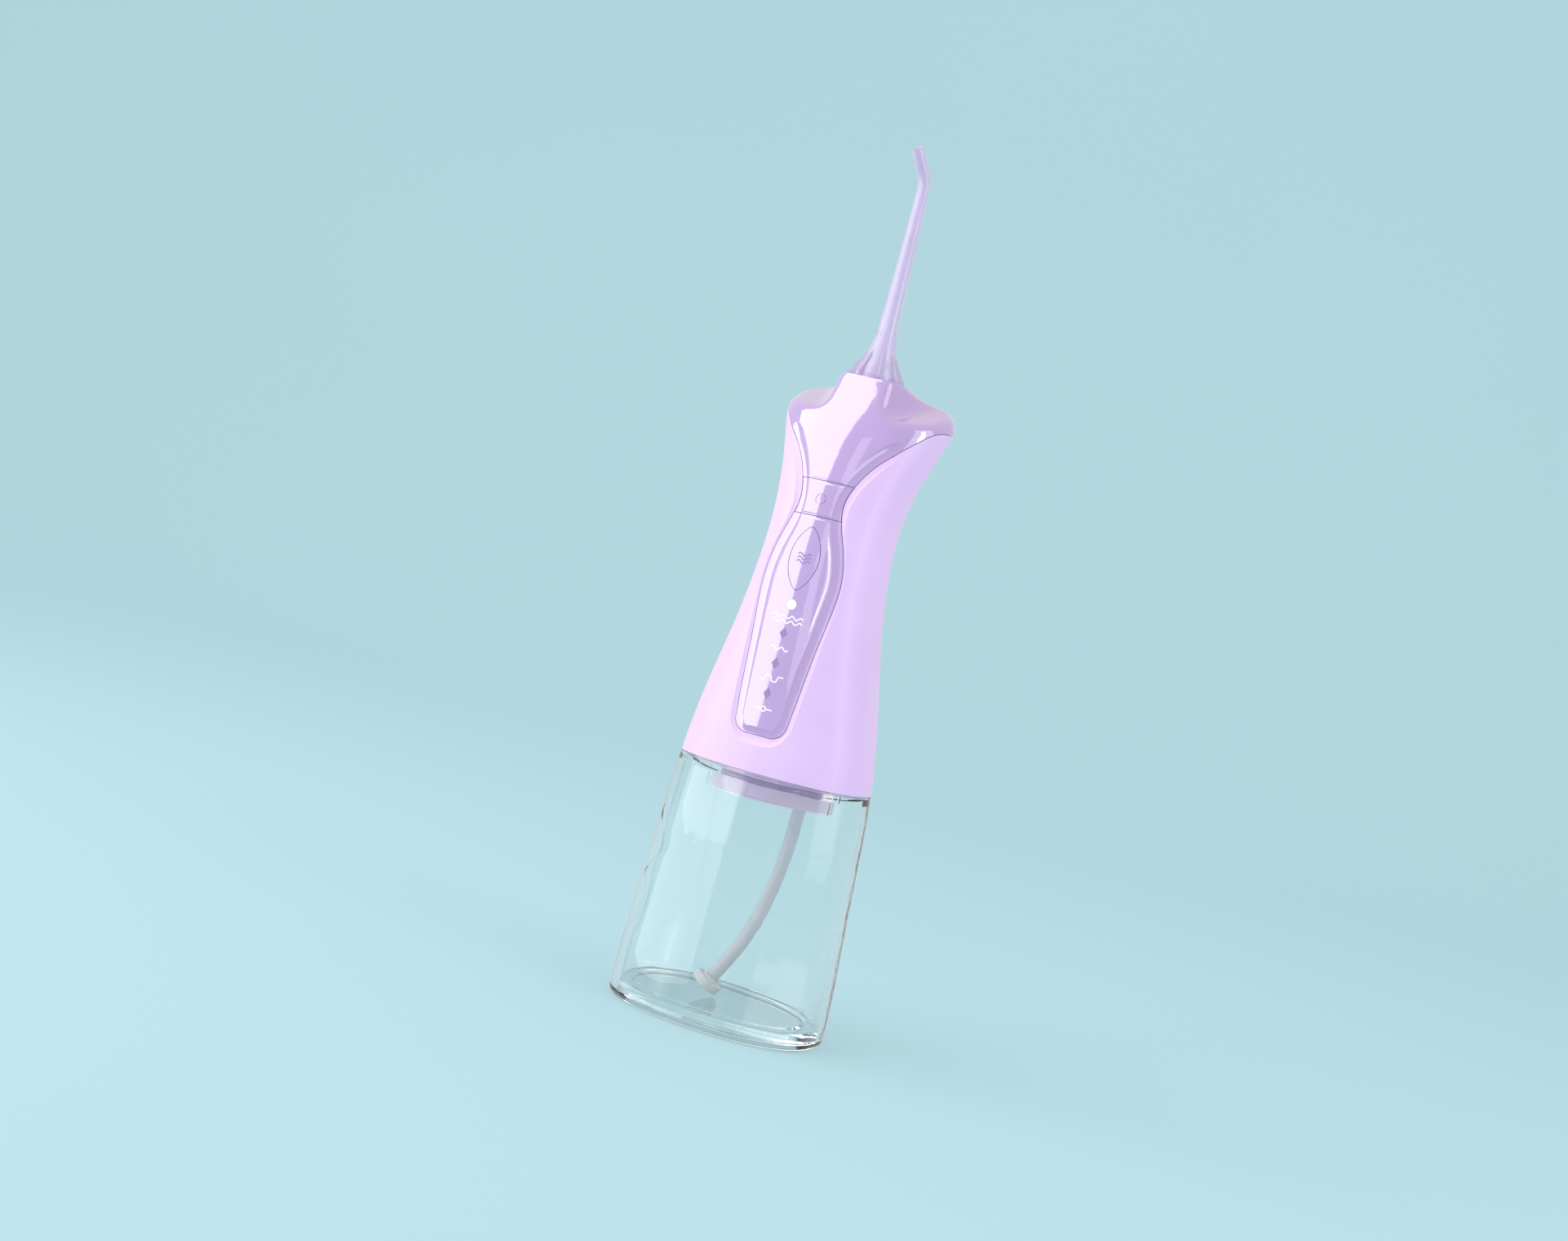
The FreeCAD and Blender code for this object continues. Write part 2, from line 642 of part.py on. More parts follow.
def make_base_cap(cavity):
    top = S.tank_height + S.joint_gap + S.cap_thickness
    plate_hull = handle_hull(S.shell_wall + 0.1)
    plate = plate_hull.common(slab(S.tank_height + S.joint_gap, top))
    bottom = S.tank_height + S.joint_gap - S.spigot_drop
    spigot = Part.makeCylinder(S.spigot_radius, S.spigot_drop + 1, Vector(0, 0, bottom))
    skirt = Part.makeCylinder(S.spigot_radius - S.spigot_wall, 4.2, Vector(0, 0, bottom - 0.1))
    cap = plate.fuse(spigot.cut(skirt))
    groove_height = bottom + 5.6
    groove = Part.makeCylinder(S.spigot_radius + 1, 2.2, Vector(0, 0, groove_height - 1.1)).cut(
        Part.makeCylinder(S.spigot_radius - 1.75, 2.2, Vector(0, 0, groove_height - 1.1)))
    cap = cap.cut(groove)
    reach = S.spigot_radius + 0.6
    for sign in (1, -1):
        ends = sorted((sign * (S.spigot_radius - 0.5), sign * reach))
        key = block(ends, (-S.key_width / 2, S.key_width / 2), (bottom + 0.2, bottom + 4.2))
        cap = cap.fuse(key)
    window = block((0.0, 7.9), (-25, -S.spigot_radius + 0.9), (bottom + 0.9, bottom + 4.1))
    cap = cap.cut(window)
    cap = cap.cut(Part.makeCylinder(3.05, 20, Vector(*INLET, 70)))
    for centre in BOSSES:
        cap = cap.cut(Part.makeCylinder(1.15, 20, Vector(*centre, 75)))
        cap = cap.cut(Part.makeCylinder(2.3, 1.2, Vector(*centre, S.tank_height + S.joint_gap)))
    node(solid("BaseCap", cap), "base_cap")
    ring = torus("NeckSeal", "spigot_radius - 0.75", "seal_wire", (0, 0, groove_height))
    node(ring, "neck_seal")
    return top, bottom


def make_inlet(top, bottom):
    """Inlet fitting pressed through the base cap, its hose, the suction tube and its weight."""
    low = SUCTION_ROUTE[0][2]
    stub = cylinder("InletStub", "barb_radius", 6, (*INLET, low - 4.0))
    trunk = cylinder("InletTrunk", 3.0, 13.5, (*INLET, low + 0.05))
    side = cylinder("InletSide", "barb_radius", 4.4, (INLET[0] - 2, INLET[1], top + 4.3), -X)
    flow = cylinder("InletFlow", 0.9, 17, (INLET[0], INLET[1], low - 5.0))
    cross = cylinder("InletCross", 0.9, 10, (INLET[0], INLET[1], top + 4.3), -X)
    fitting = cut("InletFitting", fuse("InletBody", stub, trunk, side), flow, cross)
    node(fitting, "inlet_fitting")
    hose_start = (INLET[0] - 3.2, INLET[1], top + 4.3)
    route = [hose_start, (0.5, INLET[1], top + 4.3), (-4.5, -6.0, 94.8), (-13.9, -6.0, 94.8)]
    node(solid("InletHose", pipe(route, S.hose_radius, S.hose_bore, "inlet hose")), "inlet_hose")
    tube = pipe(SUCTION_ROUTE, S.tube_radius, S.tube_bore, "suction tube")
    node(solid("SuctionTube", tube), "suction_tube")
    end, before = Vector(*SUCTION_ROUTE[-1]), Vector(*SUCTION_ROUTE[-2])
    heading = (end - before).normalize()
    collar = cylinder("WeightCollar", "tube_radius + 0.6", 1.2, tuple(end + heading * 0.02), heading)
    drum = cylinder("WeightDrum", "weight_radius", "weight_length",
                    tuple(end + heading * 1.0), heading)
    flow = cylinder("WeightFlow", 1.2, 12, tuple(end - heading), heading)
    node(cut("SuctionWeight", fuse("WeightBody", collar, drum), flow), "suction_weight")


# ---------------------------------------------------------------- pump and drive

MOTOR_AXIS = (6.5, 4.0)
GEAR_AXIS = (-6.0, 4.0)
PUMP_HEIGHT = 97.5
GEAR_BOTTOM = 104.5
BRIDGE_BOTTOM = 109.4
BRIDGE_TOP = 111.0
CYLINDER_LEFT = -25.5
PISTON_MIDDLE = -18.5


def toothed_disc(teeth, thickness, bottom, centre, start_turn=0.0):
    """A spur gear with straight-flanked trapezoid teeth."""
    module = S.gear_module
    pitch = module * teeth / 2
    points = []
    for tooth in range(int(teeth)):
        middle = 2 * math.pi * tooth / teeth + start_turn
        for share, radius in ((-0.31, pitch - 1.2 * module), (-0.12, pitch + 0.9 * module),
                              (0.12, pitch + 0.9 * module), (0.31, pitch - 1.2 * module)):
            turn = middle + share * 2 * math.pi / teeth
            points.append(Vector(centre[0] + radius * math.cos(turn),
                                 centre[1] + radius * math.sin(turn), bottom))
    face = Part.Face(Part.makePolygon(points + points[:1]))
    return face.extrude(Vector(0, 0, thickness))


def make_drive():
    motor_base = (*MOTOR_AXIS, BRIDGE_TOP + 0.05)
    can = cylinder("MotorCan", "motor_radius", "motor_length", motor_base)
    boss = cylinder("MotorBoss", 3.0, 1.7, (*MOTOR_AXIS, BRIDGE_TOP - 1.5))
    bore = cylinder("MotorBore", "shaft_radius + 0.05", 21, (*MOTOR_AXIS, BRIDGE_TOP - 3))
    node(cut("Motor", fuse("MotorBody", can, boss), bore), "pump_motor")
    node(cylinder("MotorEndCap", "motor_radius - 0.6", 2.0,
                  (*MOTOR_AXIS, BRIDGE_TOP + S.motor_length + 0.1)), "motor_end_cap")
    node(cylinder("MotorShaft", "shaft_radius", 24, (*MOTOR_AXIS, GEAR_BOTTOM - 0.4)),
         "motor_shaft")

    pinion = toothed_disc(S.pinion_teeth, S.gear_thickness + 0.6, GEAR_BOTTOM - 0.3, MOTOR_AXIS,
                          math.pi / S.pinion_teeth)
    pinion = pinion.cut(rod_along(Z, (*MOTOR_AXIS, 90), 40, S.shaft_radius + 0.01))
    node(solid("Pinion", pinion), "motor_pinion")

    gear = toothed_disc(S.gear_teeth, S.gear_thickness, GEAR_BOTTOM, GEAR_AXIS)
    axle_bore = rod_along(Z, (*GEAR_AXIS, GEAR_BOTTOM + 0.8), 10, 1.55)
    for index in range(5):
        turn = 2 * math.pi * index / 5
        spot = (GEAR_AXIS[0] + 5.8 * math.cos(turn), GEAR_AXIS[1] + 5.8 * math.sin(turn),
                GEAR_BOTTOM + 1.2)
        gear = gear.cut(rod_along(Z, spot, 10, 2.0))
    node(solid("CrankGear", gear.cut(axle_bore)), "crank_gear")
    pin_foot = PUMP_HEIGHT - 2.0
    node(cylinder("CrankPin", "crank_pin_radius", GEAR_BOTTOM - pin_foot - 0.02,
                  (GEAR_AXIS[0] + S.crank_throw, GEAR_AXIS[1], pin_foot)), "crank_pin")
    node(cylinder("GearAxle", 1.5, BRIDGE_TOP - GEAR_BOTTOM - 1.0,
                  (*GEAR_AXIS, GEAR_BOTTOM + 0.9)), "gear_axle")

    # Cylinder, piston and its slotted connecting rod, all along X
    start = (CYLINDER_LEFT, GEAR_AXIS[1], PUMP_HEIGHT)
    barrel = cylinder("Barrel", "cylinder_radius", "cylinder_length", start, X)
    hollow = cylinder("BarrelBore", "cylinder_bore", "cylinder_length",
                      (CYLINDER_LEFT + 1.5, GEAR_AXIS[1], PUMP_HEIGHT), X)
    port = cylinder("BarrelPort", 0.8, 8, (CYLINDER_LEFT + 2.4, GEAR_AXIS[1] - 2, PUMP_HEIGHT), -Y)
    node(cut("PumpCylinder", barrel, hollow, port), "pump_cylinder")
    left = PISTON_MIDDLE - S.piston_length / 2
    crown = cylinder("PistonCrown", "cylinder_bore - 0.08", "piston_length",
                     (left, GEAR_AXIS[1], PUMP_HEIGHT), X)
    fork = centred_box("PistonFork", 2.6, 10, 2.4,
                       (left + S.piston_length - 1.2, GEAR_AXIS[1], PUMP_HEIGHT))
    groove = cut("PistonGroove",
                 cylinder("PistonGrooveOut", "cylinder_bore + 1", 1.2,
                          (left + 0.7, GEAR_AXIS[1], PUMP_HEIGHT), X),
                 cylinder("PistonGrooveIn", "cylinder_bore - 1.14", 1.2,
                          (left + 0.7, GEAR_AXIS[1], PUMP_HEIGHT), X))
    pin_bore = cylinder("PistonPinBore", 0.8, 8,
                        (left + S.piston_length - 1.2, GEAR_AXIS[1], PUMP_HEIGHT - 4))
    node(cut("Piston", crown, fork, groove, pin_bore), "piston")
    node(torus("PistonSeal", "cylinder_bore - 0.58", 0.55,
               (left + 1.3, GEAR_AXIS[1], PUMP_HEIGHT), X), "piston_seal")
    node(cylinder("WristPin", 0.78, 6.4,
                  (left + S.piston_length - 1.2, GEAR_AXIS[1], PUMP_HEIGHT - 3.2)), "wrist_pin")
    make_rod(left + S.piston_length - 1.2)


def make_rod(pin_x):
    """Connecting rod: a small eye on the wrist pin and a slotted yoke on the crank pin."""
    clearance = 0.15
    slot_x = 2 * S.crank_throw + S.crank_pin_radius + clearance
    slot_y = S.crank_throw + S.crank_pin_radius + clearance
    yoke_x, yoke_y, half_thick = slot_x + 1.3, slot_y + 1.3, 1.05
    middle_x, middle_y = GEAR_AXIS
    z_range = (PUMP_HEIGHT - half_thick, PUMP_HEIGHT + half_thick)
    yoke = block((middle_x - yoke_x, middle_x + yoke_x), (middle_y - yoke_y, middle_y + yoke_y),
                 z_range)
    yoke = yoke.makeFillet(1.5, [edge for edge in yoke.Edges
                                 if edge.BoundBox.ZLength > 1])
    slot = block((middle_x - slot_x, middle_x + slot_x), (middle_y - slot_y, middle_y + slot_y),
                 (90, 105))
    beam = block((pin_x, middle_x - yoke_x + 0.5), (middle_y - 1.1, middle_y + 1.1), z_range)
    eye = rod_along(Z, (pin_x, middle_y, z_range[0]), 2 * half_thick, 1.25)
    bore = rod_along(Z, (pin_x, middle_y, 90), 20, 0.8)
    node(solid("ConnectingRod", yoke.cut(slot).fuse(beam).fuse(eye).cut(bore)), "connecting_rod")


VALVE_Y = (-9.5, -1.7)


def make_valves():
    body = box("ValveBody", 11.5, VALVE_Y[1] - VALVE_Y[0], 10.5, (-25.4, VALVE_Y[0], 92.3))
    inlet_barb = cylinder("ValveInletBarb", "barb_radius", 4.3, (-14.4, -6.0, 94.8), X)
    outlet_barb = cylinder("ValveOutletBarb", "barb_radius", 5.2, (-20.5, -6.0, 102.4))
    port = cylinder("ValvePort", 0.8, 7, (CYLINDER_LEFT + 2.4, VALVE_Y[1] + 0.1, PUMP_HEIGHT), -Y)
    inlet_way = cylinder("ValveInletWay", 0.8, 9.6, (-10.0, -6.0, 94.8), -X)
    rise = cylinder("ValveRise", 0.8, 18, (-20.5, -6.0, 94.8))
    seat = cylinder("ValveSeat", 2.0, 1.0, (-19.3, -6.0, 94.8), X)
    seat_two = cylinder("ValveSeatTwo", 2.0, 1.0, (-20.5, -6.0, 99.6))
    node(cut("ValveBlock", fuse("ValveSolid", body, inlet_barb, outlet_barb), port, inlet_way,
             rise, seat, seat_two), "valve_block")
    node(cylinder("InletValve", 1.9, 0.5, (-19.1, -6.0, 94.8), X), "inlet_valve")
    node(cylinder("OutletValve", 1.9, 0.5, (-20.5, -6.0, 99.8)), "outlet_valve")
    route = [(-20.5, -6.0, 102.9), (-20.5, -6.0, 114.0), (-16.2, -5.2, 134.0),
             (-13.2, -3.2, 155.0), (-13.4, -1.5, 178.0), (-17.5, 0.0, 200.6), (-8.9, 0.0, 200.6)]
    node(solid("OutletHose", pipe(route, S.hose_radius, S.hose_bore, "outlet hose")), "outlet_hose")


# ---------------------------------------------------------------- chassis, battery, electronics

PLATE_FRONT = -14.5
PLATE_BACK = -13.0
CELL_AXIS = (3.0, 3.0)
CELL_BOTTOM = 141.0


def ring_clamp(centre, inner, outer, low, high):
    ring = rod_along(Z, (*centre, low), high - low, outer)
    arm = block((centre[0] - 4, centre[0] + 4), (PLATE_BACK - 0.5, centre[1] - inner + 0.5),
                (low, high))
    return ring.fuse(arm).cut(rod_along(Z, (*centre, low - 1), high - low + 2, inner))


def make_chassis():
    top = S.tank_height + S.joint_gap + S.cap_thickness + 0.05
    frame = block((-10.2, 10.2), (PLATE_FRONT, PLATE_BACK), (top, 184))
    frame = frame.fuse(block((-19.5, 19.5), (PLATE_FRONT, PLATE_BACK + 1.0), (top, 92)))
    for centre in BOSSES:
        post = rod_along(Z, (*centre, top), 9, 2.8).cut(rod_along(Z, (*centre, top), 7, 1.1))
        frame = frame.cut(rod_along(Z, (*centre, top - 1), 8, 2.7)).fuse(post)
    for low in (118, 130):
        frame = frame.fuse(ring_clamp(MOTOR_AXIS, S.motor_radius + 0.05, S.motor_radius + 1.4,
                                      low, low + 4))
    for low in (148, 178):
        frame = frame.fuse(ring_clamp(CELL_AXIS, S.cell_radius + 0.05, S.cell_radius + 1.2,
                                      low, low + 5))
    bridge = block((-13, 16.5), (PLATE_BACK - 0.5, 13.5), (BRIDGE_BOTTOM, BRIDGE_TOP))
    bridge = bridge.cut(rod_along(Z, (*MOTOR_AXIS, 100), 20, 3.05))
    bridge = bridge.cut(rod_along(Z, (*GEAR_AXIS, 100), 20, 1.5))
    pump_arm = block((-22, -10), (PLATE_FRONT, VALVE_Y[0] - 0.05), (93, 101))
    frame = frame.fuse(bridge).fuse(pump_arm)
    frame = frame.fuse(block((-3.2, 3.2), (PLATE_BACK - 0.5, 12),
                             (CELL_BOTTOM - 1.7, CELL_BOTTOM - 0.1)))
    frame = frame.cut(rod_along(Z, (*MOTOR_AXIS, BRIDGE_TOP + 0.02), S.motor_length + 2.2,
                                S.motor_radius + 0.05))
    node(solid("Chassis", frame), "chassis")
    node(cylinder("BatteryCell", "cell_radius", "cell_length", (*CELL_AXIS, CELL_BOTTOM)),
         "battery_cell")
    board = box("MainBoard", "board_width", "board_thickness", "board_length",
                (-S.board_width / 2, BOARD_FRONT, 100.0))
    node(board, "main_board")
    posts = [rod_along(Y, (across, PLATE_FRONT - 0.48, height), 0.46, 1.5)
             for across in (-6, 6) for height in (104, 176)]
    screws = [rod_along(Y, (across, BOARD_FRONT - 0.9, height), 0.88, 1.6)
              for across in (-6, 6) for height in (104, 176)]
    node(solid("BoardSpacers", Part.makeCompound(posts)), "board_spacers")
    node(solid("BoardScrews", Part.makeCompound(screws)), "board_screws")
    cap_screws = []
    for centre in BOSSES:
        head = rod_along(Z, (*centre, S.tank_height + S.joint_gap + 0.15), 1.0, 2.1)
        shank = rod_along(Z, (*centre, S.tank_height + S.joint_gap + 0.5), 8, 1.0)
        cap_screws.append(head.fuse(shank))
    node(solid("CapScrews", Part.makeCompound(cap_screws)), "cap_screws")


PORT_HEIGHT = 101.2


def make_charging_port(full):
    socket = block((-4.5, 4.5), (15.6, 23.0), (PORT_HEIGHT - 1.65, PORT_HEIGHT + 1.65))
    hollow = block((-4.2, 4.2), (16.6, 23.1), (PORT_HEIGHT - 1.35, PORT_HEIGHT + 1.35))
    tongue = block((-3.3, 3.3), (16.4, 22.0), (PORT_HEIGHT - 0.35, PORT_HEIGHT + 0.35))
    node(solid("ChargeSocket", socket.cut(hollow).fuse(tongue)), "charge_socket")
    node(box("ChargeBoard", 13, 6.4, 1.2, (-6.5, 14.6, PORT_HEIGHT - 1.7 - 1.25)), "charge_board")
    cover = full.common(port_zone(0)).cut(handle_hull(1.7))
    bead = rod_along(X, (-4, *PORT_HINGE), 8, PORT_HINGE_RADIUS)
    node(solid("PortCover", cover.fuse(bead)), "port_cover")


# ---------------------------------------------------------------- nozzle, socket and release

def make_nozzle_socket():
    socket = turned("SocketTurned", [
        ("0", "194"), ("socket_radius - 2", "194"), ("socket_radius", "196"),
        ("socket_radius", "215.2"), ("rotor_radius + 0.3", "215.2"), ("rotor_radius + 0.3", "209.4"),
        ("rotor_bore + 0.02", "209.4"), ("rotor_bore + 0.02", "206.9"), ("3.4", "206.9"),
        ("3.4", "205.7"), ("rotor_bore + 0.02", "205.7"), ("rotor_bore + 0.02", "197.6"),
        ("0", "197.6")])
    barb = cylinder("SocketBarb", "barb_radius", 5.0, (-8.0, 0, 200.6), -X)
    way = cylinder("SocketWay", 0.9, 16, (0, 0, 200.6), -X)
    low_way = cylinder("SocketLowWay", "rotor_bore + 0.02", 3.2, (0, 0, 197.6))
    node(cut("NozzleSocket", fuse("SocketSolid", socket, barb), way, low_way), "nozzle_socket")
    node(turned("SocketRotor", [
        ("rotor_bore", "209.6"), ("rotor_radius", "209.6"), ("rotor_radius", "211.8"),
        ("rotor_radius - 0.8", "211.8"), ("rotor_radius - 0.8", "213.2"),
        ("rotor_radius", "213.2"), ("rotor_radius", "218.9"), ("rotor_bore", "218.9")]),
        "socket_rotor")
    node(torus("RotorSeal", "rotor_radius - 0.3", 0.5, (0, 0, 212.5)), "rotor_seal")


def make_nozzle():
    """Nozzle: keyed foot, grip fins, tapering stem, elbow and jet tip, with its bore."""
    foot = turned("NozzleFoot", [
        ("0", "198.2"), ("2.6", "198.2"), ("spigot_shaft_radius", "199"),
        ("spigot_shaft_radius", "219.2"), ("nozzle_flange_radius", "219.2"),
        ("nozzle_flange_radius", "220.6"), ("6.9", "223"), ("5.6", "226"), ("4.6", "229.5"),
        ("nozzle_stem_low", "235"), ("2.85", "246"), ("2.5", "262"),
        ("nozzle_stem_high", "284"), ("0", "284")])
    turn = math.radians(S.tip_heading)
    heading = Vector(-math.sin(turn), -math.cos(turn), 0)
    lean = math.radians(S.tip_angle)
    rise = Z * math.cos(lean) + heading * math.sin(lean)
    start = Vector(0, 0, 283.9)
    corner = Vector(0, 0, S.elbow_height)
    end = corner + rise * S.tip_length
    bend = 3.0
    first, last = corner - Z * bend, corner + rise * bend
    opening = (math.pi - lean) / 2
    inward = (rise - Z).normalize()
    crown = corner + inward * (bend / math.cos(opening) - bend * math.tan(opening))
    path = Part.Wire([Part.LineSegment(start, first).toShape(),
                      Part.Arc(first, crown, last).toShape(),
                      Part.LineSegment(last, end).toShape()])
    tip, bore = [path.makePipeShell([Part.Wire(Part.makeCircle(radius, start, Z))], True, False)
                 for radius in (S.nozzle_stem_high, S.jet_bore)]
    low_bore = rod_along(Z, (0, 0, 190), start.z - 190 + 0.05, S.jet_bore)
    mouth = Part.makeCone(S.jet_bore, 1.5, 1.6, end - rise * 1.5, rise)
    return foot, tip, bore, low_bore, mouth


def make_fins():
    """Grip fins around the foot, running out into the stem."""
    fins = []
    outline = [(0, 219.2), (S.fin_reach, 219.2), (S.fin_reach, 220.4), (6.9, 225), (4.9, 228.6),
               (3.9, 232), (2.9, 240), (0, 240)]
    for index in range(8):
        points = [Vector(reach, -0.45, height) for reach, height in outline]
        fin = Part.Face(Part.makePolygon(points + points[:1])).extrude(Vector(0, 0.9, 0))
        fin.rotate(Vector(0, 0, 0), Z, index * 45 + 22.5)
        fins.append(fin)
    return fins


def make_nozzle_parts():
    make_nozzle_socket()
    foot, tip, bore, low_bore, mouth = make_nozzle()
    doc.recompute()
    shape = foot.Shape.fuse(tip)
    for fin in make_fins():
        shape = shape.fuse(fin)
    ring_groove = Part.makeCylinder(4, 1.5, Vector(0, 0, 200.4)).cut(
        Part.makeCylinder(1.77, 1.5, Vector(0, 0, 200.4)))
    clip_groove = Part.makeCylinder(4, 1.4, Vector(0, 0, 205.6)).cut(
        Part.makeCylinder(2.15, 1.4, Vector(0, 0, 205.6)))
    for tool in (bore, low_bore, mouth, ring_groove, clip_groove):
        shape = shape.cut(tool)
    doc.removeObject(foot.Name)
    node(solid("Nozzle", shape), "nozzle")
    node(torus("NozzleSeal", 2.35, 0.58, (0, 0, 201.15)), "nozzle_seal")


def make_release(full):
    """Release button at the back of the head, its return spring and the nozzle clip."""
    cap = full.common(release_zone(0)).cut(handle_hull(S.button_thickness))
    arm = block((-2, 2), (12.2, 22.0), (197.5, 200.5)).common(handle_hull(S.button_thickness - 0.2))
    node(solid("ReleaseButton", cap.fuse(arm)), "release_button")
    leaf = [(3.0, 20.0), (5.2, 14.6), (3.0, 9.2)]
    points = [Vector(across, depth, 197.2) for across, depth in leaf]
    points += [Vector(across + 0.35, depth, 197.2) for across, depth in reversed(leaf)]
    spring = Part.Face(Part.makePolygon(points + points[:1])).extrude(Vector(0, 0, 3.6))
    node(solid("ReleaseSpring", spring), "release_spring")
    clip_height, clip_radius, clip_wire, opening = 206.3, 2.85, 0.4, math.radians(30)
    ends = [Vector(sign * clip_radius * math.cos(opening), clip_radius * math.sin(opening),
                   clip_height) for sign in (1, -1)]
    arc = Part.Arc(ends[0], Vector(0, -clip_radius, clip_height), ends[1])
    tangent = Vector(math.sin(opening), -math.cos(opening), 0)
    circle = Part.makeCircle(clip_wire, ends[0], tangent)
    clip = Part.Wire([arc.toShape()]).makePipeShell([Part.Wire(circle)], True, False)
    node(solid("NozzleClip", clip), "nozzle_clip")


def check_and_write():
    doc.recompute()
    for item in doc.Objects:
        if "Invalid" in item.State or "Error" in item.State:
            raise RuntimeError(f"{item.Name} did not compute: {item.State}")
    for item in nodes:
        if item.Shape.isNull() or not item.Shape.isValid() or not item.Shape.Solids:
            raise RuntimeError(f"{item.Label} has no valid solid")
    for item in nodes:
        item.Shape.exportStep(f"parts/{item.Label}.step")
    print(len(nodes), "sub-parts written")


def main():
    make_tank()
    full, cavity = make_handle()
    make_button_parts(cavity)
    make_lamps(full)
    top, bottom = make_base_cap(cavity)
    make_inlet(top, bottom)
    make_drive()
    make_valves()
    make_chassis()
    make_charging_port(full)
    make_nozzle_parts()
    make_release(full)
    check_and_write()


main()
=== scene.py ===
import json
import math

import bmesh
import bpy
from mathutils import Matrix, Vector
from mathutils.bvhtree import BVHTree


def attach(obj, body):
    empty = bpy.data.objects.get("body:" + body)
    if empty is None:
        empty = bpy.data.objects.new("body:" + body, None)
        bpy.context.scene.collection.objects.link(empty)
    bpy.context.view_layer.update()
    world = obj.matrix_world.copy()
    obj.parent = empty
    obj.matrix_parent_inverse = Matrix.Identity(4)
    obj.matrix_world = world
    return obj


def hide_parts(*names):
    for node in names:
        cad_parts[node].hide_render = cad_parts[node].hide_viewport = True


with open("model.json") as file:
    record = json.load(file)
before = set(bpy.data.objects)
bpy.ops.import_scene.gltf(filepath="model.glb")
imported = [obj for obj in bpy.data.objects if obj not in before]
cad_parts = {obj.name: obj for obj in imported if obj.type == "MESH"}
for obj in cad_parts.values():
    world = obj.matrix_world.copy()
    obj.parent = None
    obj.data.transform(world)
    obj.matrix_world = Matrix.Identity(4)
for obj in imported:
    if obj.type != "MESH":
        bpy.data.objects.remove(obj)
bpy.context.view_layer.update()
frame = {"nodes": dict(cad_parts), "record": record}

scene = bpy.context.scene
scene.view_settings.view_transform = "Standard"
nodes = frame["nodes"]
MM = 0.001


# ---------------------------------------------------------------- camera

VIEW_AZIMUTH = math.radians(21.0)
ROLL = math.radians(14.2)
EYE_DISTANCE = 0.585
EYE_HEIGHT = 0.134
SIDE_SHIFT = -0.0099
FRAME_WIDTH = 0.526


def make_camera():
    """Level camera to the front right, rolled so that the object leans to the right."""
    sideways = Vector((math.cos(VIEW_AZIMUTH), math.sin(VIEW_AZIMUTH), 0))
    towards_eye = Vector((math.sin(VIEW_AZIMUTH), -math.cos(VIEW_AZIMUTH), 0))
    up = Vector((0, 0, 1))
    right = sideways * math.cos(ROLL) + up * math.sin(ROLL)
    upright = up * math.cos(ROLL) - sideways * math.sin(ROLL)
    place = sideways * SIDE_SHIFT + up * EYE_HEIGHT + towards_eye * EYE_DISTANCE
    data = bpy.data.cameras.new("camera")
    data.sensor_width = 36.0
    data.lens = data.sensor_width * EYE_DISTANCE / FRAME_WIDTH
    camera = bpy.data.objects.new("camera", data)
    turn = Matrix((right, upright, towards_eye)).transposed().to_4x4()
    camera.matrix_world = Matrix.Translation(place) @ turn
    scene.collection.objects.link(camera)
    scene.camera = camera


make_camera()


# ---------------------------------------------------------------- materials

BUMP_STRENGTH = 0.35
COAT_ROUGHNESS = 0.03
SCATTER_RADIUS = (0.004, 0.003, 0.005)
CLEAR_IOR = 1.49
TINTED_IOR = 1.45
COVER_COAT_IOR = 2.2
COVER_SPECULAR = 0.9
# Painted light: a faint lilac glow on the cap plastic, which is no lamp.
CAP_PAINTED_LIGHT_COLOR = (0.80, 0.66, 0.98, 1)
CAP_PAINTED_LIGHT = 0.25
# Noise scales: colour drift, uneven gloss and, on clear plastic, drift and a thin film.
DRIFT_SCALE, WEAR_SCALE = 35.0, 140.0
CLEAR_DRIFT_SCALE, FILM_SCALE = 60.0, 220.0
COARSE_GRAIN, FINE_GRAIN, TINTED_GRAIN = 900.0, 500.0, 600.0
GRAIN_DEPTH, FINE_GRAIN_DEPTH = 0.00001, 0.000002


def new_material(name):
    """A material with its node tree and its main shader."""
    material = bpy.data.materials.new(name)
    material.use_nodes = True
    tree = material.node_tree
    return material, tree, tree.nodes["Principled BSDF"]


def noise(tree, scale, detail=3.0, roughness=0.5):
    """Noise fixed to the object, with about this many waves per metre."""
    coordinates = tree.nodes.new("ShaderNodeTexCoord")
    texture = tree.nodes.new("ShaderNodeTexNoise")
    texture.inputs["Scale"].default_value = scale
    texture.inputs["Detail"].default_value = detail
    texture.inputs["Roughness"].default_value = roughness
    tree.links.new(coordinates.outputs["Object"], texture.inputs["Vector"])
    return texture


def ramp(tree, source, low, high, dark, light):
    """Map a grey source between two values onto two colours."""
    band = tree.nodes.new("ShaderNodeValToRGB")
    band.color_ramp.elements[0].position = low
    band.color_ramp.elements[1].position = high
    band.color_ramp.elements[0].color = (*dark, 1)
    band.color_ramp.elements[1].color = (*light, 1)
    tree.links.new(source, band.inputs["Fac"])
    return band.outputs["Color"]


def bump(tree, shader, source, distance):
    """Let a grey source raise the surface a little."""
    node = tree.nodes.new("ShaderNodeBump")
    node.inputs["Strength"].default_value = BUMP_STRENGTH
    node.inputs["Distance"].default_value = distance
    tree.links.new(source, node.inputs["Height"])
    tree.links.new(node.outputs["Normal"], shader.inputs["Normal"])


def shade(color, factor):
    """A colour made darker or lighter."""
    return tuple(min(1.0, channel * factor) for channel in color)


